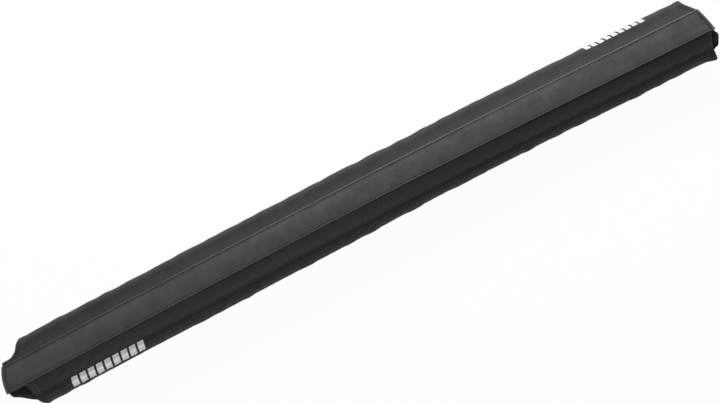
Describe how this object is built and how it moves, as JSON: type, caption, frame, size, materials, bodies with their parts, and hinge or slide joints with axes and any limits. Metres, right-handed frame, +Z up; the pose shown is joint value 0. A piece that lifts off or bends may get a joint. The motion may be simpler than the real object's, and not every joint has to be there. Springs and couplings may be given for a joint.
{
  "type": "roof rack pad",
  "caption": "Long padded fabric sleeve for a roof rack crossbar: foam core, smooth top panel with a pinched rim, and side flaps that close under the bar.",
  "frame": {"origin": "centre of the pad's bounding box on the surface that it lies on", "axes": "+X along the pad towards the end where the flaps lie closer to the end, +Y towards the back, +Z up through the top panel"},
  "size_m": [0.771, 0.0708, 0.031],
  "materials": {
    "coated_fabric": "smooth coated, satin",
    "woven_fabric": "matte woven",
    "end_fabric": "matte woven, dark",
    "grip_lining": "matte grip",
    "foam": "closed cell foam",
    "loop_tape": "napped loop",
    "hook_tape": "moulded hook"
  },
  "bodies": {
    "root": {"foam_core": "foam", "left_end_cap": "end_fabric", "right_end_cap": "end_fabric", "pocket_base": "grip_lining", "top_panel": "coated_fabric", "front_flap": "woven_fabric", "back_flap": "woven_fabric", "hook_strip": "hook_tape", "loop_strip": "loop_tape"}
  },
  "joints": []
}
